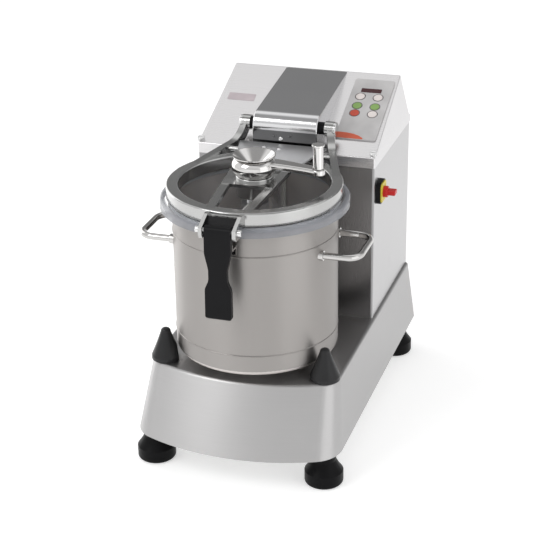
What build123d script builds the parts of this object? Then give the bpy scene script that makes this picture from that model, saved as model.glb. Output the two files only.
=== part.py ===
from build123d import *
import math
import os

os.makedirs("parts", exist_ok=True)

# A table-top vegetable chopping machine: a steel bowl stands on a low base in
# front of a column, and a hinged lid with a hand scraper closes the bowl.
# Millimetres. X to the right, the bowl towards -Y, Z up, origin on the table
# under the middle of the machine.

# Sizes that the rest follows
base_bottom = 62.0
base_top = 184.0
bowl_radius = 147.0
column_half = 171.0
column_front_y = 45.0
lid_radius = bowl_radius + 21.0
bowl_y = column_front_y - lid_radius - 11.0

# Base
base_sheet = 2.0
base_flange = 14.0
base_half_bottom = column_half + 20.0
base_half_top = column_half + 5.0
base_front_bottom = bowl_y - 194.0
base_front_top = bowl_y - 134.0
base_bow_bottom = 50.0
base_bow_top = 44.0
base_corner_bottom = 58.0
base_corner_top = 40.0
base_rear_bottom = 340.0
base_rear_top = 334.0
base_rear_corner = 12.0
base_edge = 6.0
floor_sheet = 3.0
floor_gap = 0.3
hole_gap = 0.2
air_slot_length = 60.0
air_slot_width = 6.0
air_slot_pitch = 16.0
air_slots = 6

# Feet
foot_x = column_half - 11.0
foot_front_y = bowl_y - 119.0
foot_rear_y = 285.0
foot_radius = 35.0
foot_sole = 29.0
foot_shoe = 25.0
foot_collar = 22.0
foot_collar_low = 46.0
foot_spigot = 12.0
stud_radius = 5.0
stud_low = 20.0
nut_radius = 9.0
nut_height = 8.0

# Inlet for the mains lead
gland_x = column_half - 61.0
gland_y = 300.0
gland_bore = 4.5
gland_thread = 8.0
gland_drop = 20.0
gland_hexagon = 13.0

# Bowl and the drive under it
bowl_wall = 2.0
bowl_step = 19.0
bowl_foot = base_top + bowl_step
bowl_rim_top = 479.0
bowl_rim_radius = bowl_radius + 6.0
bowl_rim_height = 6.0
bowl_corner = 12.0
bead_heights = (bowl_foot + 40.0, bowl_rim_top - 49.0)
bead_radius = 1.4
chimney_radius = 33.0
chimney_top = bowl_foot + 59.0
chimney_gap = 0.5
spigot_radius = 30.5
spigot_top = bowl_foot + 28.0
shaft_radius = 12.5
shaft_top = bowl_foot + 87.0
running_fit = 0.05
guide_radius = 27.0
guide_shoe = 7.0
guide_waist = 18.2
guide_waist_z = base_top + 28.0
guide_tip = 9.0
guide_round = 6.0
guide_top = base_top + 59.0
guide_reach = bowl_radius + 21.0
guide_angle = 27.0
handle_z = 410.0
handle_reach = bowl_radius + 61.0
handle_rod = 6.0
handle_half = 54.0
handle_bend = 26.0
handle_pad = 9.0
catch_half = 14.0
catch_low = 448.0
catch_high = 460.0
catch_front_y = bowl_y - bowl_radius - 19.0
catch_sheet = 3.0

# Rotor
blade_sheet = 3.0
blade_reach = bowl_radius - 11.0
lower_blade_z = bowl_foot + 13.0
upper_blade_z = lower_blade_z + 24.0
hub_radius = 38.0
hub_flange = 44.0
hub_foot = bowl_foot + 5.0
hub_top = chimney_top + 10.0
hub_bore = 35.0
hub_roof = 7.0
cap_shoulder = hub_top - 6.0
cap_neck = 16.0
cap_neck_z = hub_top + 21.0
cap_top = hub_top + 32.0
fit_gap = 0.1

# Belt drive
motor_y = 190.0
motor_radius = 85.0
motor_top = 420.0
motor_flange = 190.0
motor_box_half = 45.0
motor_box_low = 264.0
motor_box_high = 344.0
motor_shaft_radius = 12.0
motor_shaft_top = 230.0
pulley_low = 98.0
pulley_high = 126.0
pulley_lip = 3.0
pulley_lip_sheet = 2.0
rotor_pulley_radius = 70.0
motor_pulley_radius = 35.0
belt_sheet = 4.0
belt_gap = 0.3
housing_radius = 42.0
housing_foot = 132.0
housing_flange = 62.0
bearing_radius = 26.0
bearing_height = 15.0

# Column and head
column_back_y = 328.0
column_top = 489.0
column_sheet = 1.5
column_bend = 4.0
column_return = 14.0
louvre_x = 70.0
louvre_length = 90.0
louvre_rise = 5.0
louvre_drop = 10.0
louvre_pitch = 24.0
louvre_rows = 9
louvre_first = 60.0
panel_foot_z = 509.0
ridge_y = 262.0
ridge_z = 603.0
head_half_low = column_half + 1.0
head_half_high = column_half - 4.0
head_back_y = column_back_y + 6.0
head_edge = 3.0
head_screw_x = column_half - 3.5
head_screw_s = 9.0

# Lid hinge
hinge_y = column_front_y + 25.0
hinge_z = 549.5
hinge_shaft_radius = 8.0
hinge_shaft_half = 90.5
spacer_radius = 11.5
bracket_front_y = hinge_y - 22.0
bracket_rear_y = hinge_y + 30.0
cover_half = 62.0
cover_nose = 27.0
cover_foot_z = 511.0
arm_inside = 72.0
arm_outside = 88.0
arm_boss = 14.0
arm_bar = 14.0
arm_rise_low = 50.0
arm_rise_high = 56.0
arm_knee_low = 503.0
arm_knee_high = 524.0
hinge_cap_sheet = 5.0

# Lid
lid_sheet = 4.0
lid_top = 490.0
lid_skirt_foot = 474.0
lid_edge = 5.5
lid_hole = 17.0
ring_outer = bowl_radius + 9.0
ring_inner = bowl_radius - 13.0
ring_top = 514.0
spoke_width = 15.0
spoke_sheet = 8.0
spoke_front_x = 33.0
spoke_rear_x = 46.0
spoke_rear_top = 524.0
lid_hub_radius = 33.0
lid_hub_top = 526.0
web_depth = 14.0
web_sheet = 6.0
plate_low = 521.0
plate_sheet = 3.0
plate_rear_y = 36.0
plate_front_half = 52.0
plate_gap = 0.5
crossbar_y = 10.0
crossbar_radius = 5.0
gasket_inner = bowl_radius - bowl_wall
gasket_width = 7.0

# Latch
latch_pin_y = bowl_y - lid_radius - 24.0
latch_pin_z = 495.0
latch_pin_radius = 4.0
latch_pin_half = 40.5
latch_front_y = latch_pin_y - 14.0
latch_half = 23.3
latch_waist = 16.5
latch_shoulder = 456.0
latch_waist_high = latch_shoulder - 28.0
latch_waist_low = latch_waist_high - 20.0
latch_hip = latch_waist_low - 15.0
latch_tail = 55.0
latch_foot = latch_hip - latch_tail
latch_thickness = 13.0
latch_barrel = 9.0
cheek_inside = 26.5
cheek_sheet = 6.5
bridge_front_y = bowl_y - lid_radius - 2.0
bridge_depth = 6.0
bridge_top = ring_top + 1.0
bridge_sheet = 4.0
latch_cover_sheet = 4.0

# Crank and scraper
crank_reach = 116.0
crank_low = 536.0
crank_high = 556.0
crank_hub_radius = 40.0
crank_tip_high = 547.5
crank_tip_radius = 12.0
crank_root_half = 17.0
crank_round = 5.0
crank_gap = 0.5
tube_outer = 14.0
tube_inner = 9.0
funnel_radius = 38.0
funnel_foot = 541.0
funnel_top = 563.0
funnel_sheet = 1.5
grip_radius = 9.0
grip_low = 548.0
grip_high = 588.5
crank_pin_radius = 5.0
crank_pin_top = 592.0
scraper_reach = bowl_radius - 4.0
scraper_foot = 275.0
scraper_hub = 24.0
scraper_hub_low = 452.0
scraper_arm_low = 458.0
scraper_arm_high = 470.0
scraper_top = 474.0
holder_sheet = 8.0
wiper_depth = 13.0
wiper_half = 13.0
wiper_lip = 4.0

# Control panel, on the slope of the head
fascia_x = column_half - 47.5
fascia_s = 129.0
fascia_width = 78.0
fascia_length = 170.0
fascia_sheet = 3.0
key_radius = 8.5
key_gap = 0.2
key_columns = (fascia_x - 18.0, fascia_x + 16.5)
key_rows = (162.5, 136.0, 115.0)
key_pocket = 2.4
key_lift = 0.7
key_proud = 0.8
display_s = 181.0
display_width = 39.4
display_height = 11.4
board_width = fascia_width - 8.0
board_length = fascia_length - 20.0
board_drop = 12.0
board_sheet = 1.6
board_post_radius = 3.0
chip_side = 16.0
chip_height = 4.0
chip_places = ((-15.0, 30.0), (14.0, -10.0), (-12.0, -45.0))

# Main switch, on the right side of the column
switch_y = 82.0
switch_z = 432.5
switch_side = 42.0
switch_corner = 10.0
switch_depth = 8.0
switch_plate_side = 37.0
switch_plate_sheet = 2.0
knob_radius = 10.8
knob_half = 9.2
knob_thickness = 9.0
knob_tip = column_half + 33.0

panel_angle = math.degrees(math.atan2(ridge_z - panel_foot_z, ridge_y - column_front_y))
panel_slope = math.tan(math.radians(panel_angle))
panel_plane = Plane(
    origin=(0, column_front_y, panel_foot_z),
    x_dir=(1, 0, 0),
    z_dir=(0, -math.sin(math.radians(panel_angle)), math.cos(math.radians(panel_angle))),
)
bowl_axis = Pos(0, bowl_y, 0)
ring_middle = (ring_outer + ring_inner) / 2
arm_middle = (arm_inside + arm_outside) / 2
hinge_distance = math.hypot(arm_middle, hinge_y - bowl_y)
arm_angle = math.atan2(hinge_y - bowl_y, arm_middle) - math.acos(ring_middle / hinge_distance)
arm_start = (ring_middle * math.cos(arm_angle), bowl_y + ring_middle * math.sin(arm_angle))
spoke_rear_y = bowl_y + lid_hub_radius


def panel_z(y):
    """Height of the sloping panel at a depth y."""
    return panel_foot_z + (y - column_front_y) * panel_slope


def post(radius, low, high, x=0.0, y=0.0):
    """Upright cylinder between two heights."""
    return Pos(x, y, (low + high) / 2) * Cylinder(radius, high - low)


def tube(outer, inner, low, high, x=0.0, y=0.0):
    """Upright tube between two heights."""
    return post(outer, low, high, x, y) - post(inner, low, high, x, y)


def rod_x(radius, start, end, y, z):
    """Cylinder along X."""
    centre = Pos((start + end) / 2, y, z) * Rot(0, 90, 0)
    return centre * Cylinder(radius, abs(end - start))


def block(x_range, y_range, z_range):
    """Box from its lowest and highest corner."""
    sizes = [high - low for low, high in (x_range, y_range, z_range)]
    centre = [(high + low) / 2 for low, high in (x_range, y_range, z_range)]
    return Pos(*centre) * Box(*sizes)


def across(face, half):
    """Extrudes a face drawn in Y and Z to both sides of the middle plane."""
    return extrude(Plane.YZ * face, half, both=True)


def turned(face):
    """Revolves a face drawn in radius and Z about the upright Z axis."""
    return revolve(Plane.XZ * face, Axis.Z)


def polygon(*points):
    return make_face(Polyline(*points, close=True))


def both_sides(shape):
    """A piece and its mirror image, left and right."""
    return Part() + [shape, mirror(shape, Plane.YZ)]


def save_all(nodes):
    for name, shape in nodes.items():
        shape.label = name
        export_step(shape, f"parts/{name}.step")


# Base


def base_outline(height, inset=0.0):
    """Plan of the base at a height: straight sides, bowed front, round corners."""
    share = (height - base_bottom) / (base_top - base_bottom)

    def between(bottom, top):
        return bottom + (top - bottom) * share

    half = between(base_half_bottom, base_half_top) - inset
    front = between(base_front_bottom, base_front_top) + inset
    rear = between(base_rear_bottom, base_rear_top) - inset
    side = front + between(base_bow_bottom, base_bow_top)
    corner = between(base_corner_bottom, base_corner_top) - inset
    edges = Polyline((half, side), (half, rear), (-half, rear), (-half, side))
    edges += ThreePointArc((-half, side), (0, front), (half, side))
    face = make_face(edges)
    face = fillet(face.vertices().sort_by(Axis.Y)[:2], corner)
    face = fillet(face.vertices().sort_by(Axis.Y)[-2:], max(base_rear_corner - inset, 1.0))
    return Pos(0, 0, height) * face


def make_base_housing():
    """Skirt and deck of one sheet, with a raised step that the bowl stands on."""
    skirt = loft([base_outline(base_bottom), base_outline(base_top)])
    skirt = fillet(skirt.edges().group_by(Axis.Z)[-1], base_edge)
    inside_low = base_bottom + base_sheet
    inside_high = base_top - base_sheet
    inside = loft([base_outline(inside_low, base_sheet), base_outline(inside_high, base_sheet)])
    inside = fillet(inside.edges().group_by(Axis.Z)[-1], base_edge - base_sheet)
    mouth = extrude(base_outline(base_bottom, base_flange), base_sheet)
    step_radius = housing_flange + 10.0
    step = post(step_radius, inside_high, bowl_foot, 0, bowl_y)
    under_step = post(step_radius - base_sheet, inside_high, bowl_foot - base_sheet, 0, bowl_y)
    hole = post(spigot_radius + belt_gap, inside_high, bowl_foot, 0, bowl_y)
    motor_hole = post(motor_pulley_radius + 10.0, inside_high, base_top, 0, motor_y)
    return skirt - inside - mouth + step - under_step - hole - motor_hole


def stud_places():
    return [(x, y) for y in (foot_front_y, foot_rear_y) for x in (-foot_x, foot_x)]


def make_base_floor():
    """Plate that lies on the turned-in flange, with air slots under the motor."""
    low = base_bottom + base_sheet
    floor = extrude(base_outline(low + floor_sheet, base_sheet + floor_gap), -floor_sheet)
    for x, y in stud_places():
        floor -= post(stud_radius + hole_gap, low, low + floor_sheet, x, y)
    floor -= post(gland_thread + hole_gap, low, low + floor_sheet, gland_x, gland_y)
    slot = extrude(SlotOverall(air_slot_length, air_slot_width), floor_sheet)
    for row in range(air_slots):
        shift = (row - (air_slots - 1) / 2) * air_slot_pitch
        floor -= Pos(0, motor_y + shift, low) * slot
    return floor


def make_feet():
    """Rubber bells: a broad shoe that flares out under a collar."""
    top = base_bottom + base_sheet
    edge = foot_radius - foot_sole
    flare = ((foot_radius + foot_collar) / 2 - 1, (foot_shoe + foot_collar_low) / 2)
    edges = Polyline((0, top), (0, 0), (foot_sole, 0))
    edges += RadiusArc((foot_sole, 0), (foot_radius, edge), -edge)
    edges += Line((foot_radius, edge), (foot_radius, foot_shoe))
    edges += ThreePointArc((foot_radius, foot_shoe), flare, (foot_collar, foot_collar_low))
    edges += Polyline(
        (foot_collar, foot_collar_low),
        (foot_collar, base_bottom),
        (foot_spigot, base_bottom),
        (foot_spigot, top),
        (0, top),
    )
    foot = turned(make_face(edges)) - post(stud_radius + fit_gap, stud_low, top)
    return Part() + [Pos(x, y, 0) * foot for x, y in stud_places()]


def make_foot_studs():
    nut_low = base_bottom + base_sheet + floor_sheet
    nut = Pos(0, 0, nut_low) * extrude(RegularPolygon(nut_radius, 6), nut_height)
    stud = post(stud_radius, stud_low + fit_gap, nut_low + nut_height + stud_radius) + nut
    return Part() + [Pos(x, y, 0) * stud for x, y in stud_places()]


def make_bowl_guides():
    """Rubber bells, hollowed on the side where the bowl stands between them."""
    shoulder = (guide_radius, base_top + guide_shoe)
    round_low = (guide_tip, guide_top - guide_round)
    tip = (guide_tip - guide_round, guide_top)
    edges = Polyline(tip, (0, guide_top), (0, base_top), (guide_radius, base_top), shoulder)
    edges += ThreePointArc(shoulder, (guide_waist, guide_waist_z), round_low)
    edges += RadiusArc(round_low, tip, -guide_round)
    cone = turned(make_face(edges))
    angle = math.radians(guide_angle)
    cone = Pos(guide_reach * math.cos(angle), bowl_y - guide_reach * math.sin(angle), 0) * cone
    cone -= post(bowl_radius + bead_radius + floor_gap, base_top, guide_top, 0, bowl_y)
    return both_sides(cone)


def make_cable_gland():
    """Hexagon and domed cap under the floor, with a thread and a nut above it."""
    low = base_bottom + base_sheet
    high = low + floor_sheet
    foot = low - gland_drop
    cap_high = low - gland_thread
    cap = turned(
        polygon((0, foot), (gland_thread, foot), (gland_thread + 3, foot + 6), (gland_thread + 3, cap_high), (0, cap_high))
    )
    hexagon = Pos(0, 0, cap_high) * extrude(RegularPolygon(gland_hexagon, 6), gland_thread)
    thread = post(gland_thread, low, high + gland_thread)
    nut = Pos(0, 0, high) * extrude(RegularPolygon(gland_hexagon - 1, 6), gland_thread - 3)
    gland = cap + hexagon + thread + nut - post(gland_bore, foot, high + gland_thread)
    return Pos(gland_x, gland_y, 0) * gland


# Drive


def make_bearing_housing():
    """Turned housing that hangs under the step and whose spigot centres the bowl."""
    under_step = bowl_foot - base_sheet
    body = post(housing_radius, housing_foot, under_step)
    flange = post(housing_flange, under_step - nut_height, under_step)
    spigot = post(spigot_radius, under_step, spigot_top)
    seat = post(bearing_radius + running_fit, housing_foot, housing_foot + bearing_height)
    top_seat = post(bearing_radius + running_fit, spigot_top - bearing_height, spigot_top)
    bore = post(shaft_radius + base_sheet, housing_foot, spigot_top)
    return bowl_axis * (body + flange + spigot - seat - top_seat - bore)


def make_shaft_bearings():
    ring = tube(bearing_radius, shaft_radius + running_fit, 0, bearing_height)
    ring -= Pos(0, 0, bearing_height) * Torus((bearing_radius + shaft_radius) / 2, 2.5)
    lower = Pos(0, bowl_y, housing_foot) * ring
    upper = Pos(0, bowl_y, spigot_top - bearing_height) * ring
    return Part() + [lower, upper]


def pulley(radius, shaft):
    """Flat pulley with two lips, a web and a hub."""
    rim = tube(radius, radius - 6, pulley_low, pulley_high)
    web = tube(radius - 6, shaft + 8, pulley_low + 10, pulley_high - 10)
    hub = tube(shaft + 8, shaft, pulley_low - 4, pulley_high)
    lips = [
        tube(radius + pulley_lip, radius - 6, low, low + pulley_lip_sheet)
        for low in (pulley_low, pulley_high - pulley_lip_sheet)
    ]
    return rim + web + hub + lips


def belt_loop(grow):
    """Plan of the space inside a loop round both pulleys."""
    circles = [
        Pos(0, bowl_y) * Circle(rotor_pulley_radius + grow),
        Pos(0, motor_y) * Circle(motor_pulley_radius + grow),
    ]
    return make_hull([edge for circle in circles for edge in circle.edges()])


def make_drive_belt():
    low = pulley_low + pulley_lip_sheet + belt_gap
    height = pulley_high - pulley_low - 2 * (pulley_lip_sheet + belt_gap)
    loop = belt_loop(belt_gap + belt_sheet) - belt_loop(belt_gap)
    return Pos(0, 0, low) * extrude(loop, height)


def make_motor_body():
    half = motor_flange / 2
    flange = Pos(0, 0, base_top) * extrude(RectangleRounded(motor_flange, motor_flange, 12), 10)
    body = post(motor_radius, base_top + 10, motor_top - 40)
    bell = post(motor_radius + 3, motor_top - 40, motor_top)
    bell = fillet(bell.edges().group_by(Axis.Z)[-1], 15)
    box = block((-motor_box_half, motor_box_half), (half - 20, half + 18), (motor_box_low, motor_box_high))
    bore = post(motor_shaft_radius + running_fit, base_top, motor_shaft_top + 1)
    return Pos(0, motor_y, 0) * (flange + body + bell + box - bore)


def make_motor_shaft():
    return post(motor_shaft_radius, pulley_low - 6, motor_shaft_top, 0, motor_y)


# Bowl


def cup(radius, foot, corner):
    """Solid with the form of the outside or the inside of the bowl."""
    section = polygon((0, foot), (radius, foot), (radius, bowl_rim_top), (0, bowl_rim_top))
    lower_corner = section.vertices().sort_by_distance(Vertex(radius, foot, 0))[0]
    return turned(fillet(lower_corner, corner))


def make_bowl_body():
    """Deep-drawn bowl with a rolled rim, two beads and a chimney for the shaft."""
    inner_radius = bowl_radius - bowl_wall
    inside = cup(inner_radius, bowl_foot + bowl_wall, bowl_corner - bowl_wall)
    rim_middle = (inner_radius + bowl_rim_radius) / 2
    rim_section = RectangleRounded(bowl_rim_radius - inner_radius, bowl_rim_height, bowl_rim_height / 2 - 0.5)
    rim = turned(Pos(rim_middle, bowl_rim_top - bowl_rim_height / 2) * rim_section)
    beads = Part() + [Pos(0, 0, z) * Torus(bowl_radius - 0.4, bead_radius) for z in bead_heights]
    beads -= post(inner_radius, bowl_foot + bowl_wall, bowl_rim_top)
    chimney = post(chimney_radius, bowl_foot, chimney_top)
    chimney = fillet(chimney.edges().group_by(Axis.Z)[-1], 3 * bowl_wall)
    inside_chimney = post(spigot_radius + chimney_gap, bowl_foot, chimney_top - bowl_wall)
    inside_chimney = fillet(inside_chimney.edges().group_by(Axis.Z)[-1], 2 * bowl_wall)
    bowl = cup(bowl_radius, bowl_foot, bowl_corner) - inside + beads + rim + chimney
    bowl = bowl - inside_chimney - post(shaft_radius + bowl_wall, bowl_foot, chimney_top)
    return bowl_axis * bowl


def make_bowl_handles():
    """Round rod bent to a loop, its two ends in pads on the wall of the bowl."""
    bar = handle_reach - handle_rod
    root = math.sqrt(bowl_radius**2 - handle_half**2) - handle_pad
    path = FilletPolyline(
        (root, handle_half), (bar, handle_half), (bar, -handle_half), (root, -handle_half), radius=handle_bend
    )
    path = Pos(0, bowl_y, handle_z) * path
    rod = sweep(Plane(origin=path @ 0, z_dir=path % 0) * Circle(handle_rod), path=path)
    for side in (-1, 1):
        rod += rod_x(handle_pad, root, root + 1.5 * handle_pad, bowl_y + side * handle_half, handle_z)
    rod -= post(bowl_radius, handle_z - 2 * handle_pad, handle_z + 2 * handle_pad, 0, bowl_y)
    return both_sides(rod)


def make_bowl_catch():
    """Small bent shelf on the front of the bowl, with a lip for the nose of the latch."""
    width = (-catch_half, catch_half)
    top = catch_low + catch_sheet
    foot_low = catch_low - 4 * catch_sheet
    shelf = block(width, (catch_front_y, bowl_y - bowl_radius + 2 * catch_sheet), (catch_low, top))
    lip = block(width, (catch_front_y, catch_front_y + catch_sheet), (catch_low, catch_high))
    foot = post(bowl_radius + catch_sheet - 1, foot_low, top, 0, bowl_y)
    foot = foot & block(width, (catch_front_y, bowl_y), (foot_low, top))
    return shelf + lip + foot - post(bowl_radius, foot_low, catch_high, 0, bowl_y)


# Rotor


def make_drive_shaft():
    return post(shaft_radius, pulley_low - 8, shaft_top, 0, bowl_y)


def make_rotor_hub():
    """Sleeve over the chimney of the bowl, closed at the top round the shaft."""
    body = post(hub_radius, lower_blade_z, hub_top)
    flange = post(hub_flange, hub_foot, lower_blade_z)
    bore = post(hub_bore, hub_foot, hub_top - hub_roof)
    return bowl_axis * (body + flange - bore - post(shaft_radius, hub_foot, hub_top))


def make_blade(low, turn):
    """Ring with two sickle arms, their leading edge ground to a bevel."""
    tip = (blade_reach, 14)
    lead = ThreePointArc((24, -34), (94, -34), tip)
    trail = ThreePointArc(tip, (90, -6), (34, 26))
    arm = extrude(make_face(lead + trail + Line((34, 26), (24, -34))), blade_sheet)
    edge = arm.edges().group_by(Axis.Z)[-1].sort_by(Edge.length)[-1]
    arm = chamfer(edge, blade_sheet * 0.7)
    arms = [Rot(0, 0, turn + half_turn) * arm for half_turn in (0, 180)]
    blade = Part() + arms + post(hub_flange + 4, 0, blade_sheet)
    return Pos(0, bowl_y, low) * (blade - post(hub_radius + fit_gap, 0, blade_sheet))


def make_blade_spacer():
    return tube(hub_flange, hub_radius + fit_gap, lower_blade_z + blade_sheet, upper_blade_z, 0, bowl_y)


def make_rotor_cap():
    """Dome that clamps the blades, with a short neck to lift the rotor by."""
    low = upper_blade_z + blade_sheet
    bulge = (hub_radius - 2, (cap_shoulder + cap_top) / 2 - 1)
    edges = Polyline((0, low), (hub_flange, low), (hub_flange, cap_shoulder))
    edges += ThreePointArc((hub_flange, cap_shoulder), bulge, (cap_neck, cap_neck_z))
    edges += Polyline(
        (cap_neck, cap_neck_z), (cap_neck, cap_top - 3), (cap_neck - 3, cap_top), (0, cap_top), (0, low)
    )
    cap = turned(make_face(edges)) - post(hub_radius + fit_gap, low, hub_top)
    return bowl_axis * (cap - post(shaft_radius + fit_gap, hub_top, shaft_top + 1))


# Column and head


def make_column_shell():
    """One bent sheet: front and both sides, with returns at the back and top."""
    width = 2 * column_half
    depth = column_back_y - column_front_y
    height = column_top - base_top
    middle = (column_front_y + column_back_y) / 2
    outer = Pos(0, middle, (base_top + column_top) / 2) * Box(width, depth, height)
    front_edges = outer.edges().filter_by(Axis.Z).sort_by(Axis.Y)[:2]
    outer = fillet(front_edges, column_bend)
    inside_x = (-column_half + column_sheet, column_half - column_sheet)
    inside_y = (column_front_y + column_sheet, column_back_y - 2 * column_sheet)
    inside = block(inside_x, inside_y, (base_top, column_top - column_sheet))
    inside = fillet(inside.edges().filter_by(Axis.Z).sort_by(Axis.Y)[:2], column_bend - column_sheet)
    back_x = (-column_half + column_return, column_half - column_return)
    back_hole = block(back_x, (inside_y[1], column_back_y), (base_top, column_top - column_sheet))
    back_seat = block(inside_x, (column_back_y - column_sheet, column_back_y), (base_top, column_top))
    top_hole = block(back_x, (column_front_y + column_return, column_back_y), (column_top - column_sheet, column_top))
    switch_hole = rod_x(15.5, column_half - 5, column_half, switch_y, switch_z)
    return outer - inside - back_hole - back_seat - top_hole - switch_hole


def make_column_back():
    """Back plate with two rows of pressed louvres that open downwards."""
    half = column_half - column_sheet - floor_gap
    back = block((-half, half), (column_back_y - column_sheet, column_back_y), (base_top + 1, column_top - 1))
    lip = louvre_drop * column_sheet / louvre_rise
    hood = across(polygon((0, 0), (louvre_rise, -louvre_drop), (0, -louvre_drop)), louvre_length / 2)
    mouth = polygon(
        (-column_sheet, -lip),
        (0, -lip),
        (louvre_rise - column_sheet, -louvre_drop),
        (-column_sheet, -louvre_drop),
    )
    mouth = across(mouth, louvre_length / 2 - column_sheet)
    for side in (-1, 1):
        for row in range(louvre_rows):
            place = Pos(side * louvre_x, column_back_y, base_top + louvre_first + row * louvre_pitch)
            back = back + place * hood - place * mouth
    return back


def head_section():
    return polygon(
        (column_front_y, column_top),
        (column_front_y, panel_foot_z),
        (ridge_y, ridge_z),
        (head_back_y - 12, panel_foot_z - 2),
        (head_back_y, panel_foot_z - 6),
        (head_back_y, column_top),
    )


def head_front_view(inset):
    low = head_half_low - inset
    high = head_half_high - inset
    return polygon(
        (-low, column_top),
        (low, column_top),
        (low, panel_foot_z),
        (high, ridge_z),
        (-high, ridge_z),
        (-low, panel_foot_z),
    )


def make_head_cover():
    """Sloping cap, hollow and open below."""
    side = across(head_section(), head_half_low)
    front = extrude(Plane.XZ * head_front_view(0), -500, both=True)
    outer = side & front
    top_edges = [edge for edge in outer.edges() if edge.center().Z > column_top + 1]
    outer = fillet(top_edges, head_edge - 0.5)
    inner_section = offset(head_section(), -column_sheet, kind=Kind.INTERSECTION)
    inside = across(inner_section, head_half_low) & extrude(Plane.XZ * head_front_view(column_sheet), -500, both=True)
    inside += Pos(0, 0, -column_sheet) * inside
    for side_x in (-1, 1):
        place = panel_plane * Pos(side_x * head_screw_x, head_screw_s, 0)
        outer -= place * Cylinder(2.6, 8)
    return outer - inside


def make_head_screws():
    head = Pos(0, 0, 3) * Cylinder(7, 6)
    head = fillet(head.edges().group_by(Axis.Z)[-1], 1.2)
    notches = [Rot(0, 0, turn * 30) * Pos(7.2, 0, 3) * Cylinder(0.9, 6) for turn in range(12)]
    screw = head - notches - Pos(0, 0, 5.5) * Box(10, 1.6, 1.2) + Pos(0, 0, -3) * Cylinder(2.4, 6)
    return Part() + [panel_plane * Pos(x, head_screw_s, 0) * screw for x in (-head_screw_x, head_screw_x)]


def cover_section(shrink=0.0):
    """Side view of the hinge cover: upright front, round nose, long slope."""
    nose = cover_nose - shrink
    foot = cover_foot_z - shrink
    front = hinge_y - nose
    reach = math.hypot(ridge_y - hinge_y, ridge_z - shrink - hinge_z)
    lean = math.atan2(ridge_z - shrink - hinge_z, ridge_y - hinge_y)
    touch = math.degrees(lean + math.acos(nose / reach))
    touch_point = (hinge_y + nose * math.cos(math.radians(touch)), hinge_z + nose * math.sin(math.radians(touch)))
    rear = ridge_y - 4 - shrink
    top_slope = (ridge_z - shrink - touch_point[1]) / (ridge_y - touch_point[0])
    rear_top = (rear, touch_point[1] + (rear - touch_point[0]) * top_slope)
    edges = Line((front, foot), (front, hinge_z))
    edges += CenterArc((hinge_y, hinge_z), nose, 180, touch - 180)
    panel_start = column_front_y + column_bend
    edges += Polyline(touch_point, rear_top, (rear, panel_z(rear)), (panel_start, panel_z(panel_start)), (front, foot))
    return make_face(edges)


def make_lid_arm_cover():
    outer = across(cover_section(), cover_half)
    slope = [
        edge
        for edge in outer.edges()
        if abs(abs(edge.center().X) - cover_half) < 0.1 and edge.center().Z > panel_z(edge.center().Y) + 8
    ]
    outer = fillet(slope, 2.5)
    inside = across(cover_section(column_sheet), cover_half - column_sheet)
    inside += Pos(0, 0, -3) * inside
    shell = outer - inside - rod_x(hinge_shaft_radius + 0.5, -cover_half, cover_half, hinge_y, hinge_z)
    above = ridge_z + column_back_y
    above_panel = across(
        polygon((0, panel_z(0)), (0, above), (column_back_y, above), (column_back_y, panel_z(column_back_y))), cover_half
    )
    return shell & above_panel


def make_hinge_brackets():
    """Two cheeks on the panel, each with a foot and a boss for the shaft."""
    front_z = panel_z(bracket_front_y)
    rear_z = panel_z(bracket_rear_y)
    foot = polygon(
        (bracket_front_y, front_z), (bracket_rear_y, rear_z), (bracket_rear_y, rear_z + 4), (bracket_front_y, front_z + 4)
    )
    foot = extrude(Plane.YZ * foot, 22)
    cheek_front = (bracket_front_y + 4, panel_z(bracket_front_y + 4))
    cheek_rear = (bracket_rear_y - 4, panel_z(bracket_rear_y - 4))
    cheek = polygon(cheek_front, cheek_rear, (hinge_y + 11, hinge_z + 6), (hinge_y - 11, hinge_z + 6))
    cheek = extrude(Plane.YZ * cheek, 6)
    boss = rod_x(13, 0, 10, hinge_y, hinge_z)
    bracket = Pos(32, 0, 0) * foot + Pos(48, 0, 0) * cheek + Pos(46, 0, 0) * boss
    bracket -= rod_x(hinge_shaft_radius + 0.05, 0, cover_half, hinge_y, hinge_z)
    return both_sides(bracket)


def make_hinge_shaft():
    return rod_x(hinge_shaft_radius, -hinge_shaft_half, hinge_shaft_half, hinge_y, hinge_z)


def make_hinge_spacers():
    low = cover_half + 0.1
    high = arm_inside - 0.3
    ring = rod_x(spacer_radius, low, high, hinge_y, hinge_z)
    ring -= rod_x(hinge_shaft_radius + running_fit, low, high, hinge_y, hinge_z)
    return both_sides(ring)


def key_places():
    return [(x, s) for s in key_rows for x in key_columns]


def make_control_panel():
    plate = Pos(fascia_x, fascia_s, 0) * extrude(RectangleRounded(fascia_width, fascia_length, 5), fascia_sheet)
    plate = chamfer(plate.faces().sort_by(Axis.Z)[-1].edges(), 0.6)
    for x, s in key_places():
        plate -= Pos(x, s, fascia_sheet - key_pocket) * extrude(Circle(key_radius + key_gap), key_pocket)
    middle_x = sum(key_columns) / 2
    window = RectangleRounded(display_width + 0.4, display_height + 0.4, 1.2)
    plate -= Pos(middle_x, display_s, fascia_sheet - 1.2) * extrude(window, 1.2)
    return panel_plane * plate


def make_display_window():
    middle_x = sum(key_columns) / 2
    window = extrude(RectangleRounded(display_width, display_height, 1), 1.4)
    window = fillet(window.edges().group_by(Axis.Z)[-1], 0.3)
    return panel_plane * Pos(middle_x, display_s, fascia_sheet - 1.2) * window


def make_key(x, s):
    low = fascia_sheet - key_pocket + key_lift
    key = extrude(Circle(key_radius), fascia_sheet + key_proud - low)
    key = fillet(key.edges().group_by(Axis.Z)[-1], 0.6)
    return panel_plane * Pos(x, s, low) * key


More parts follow.
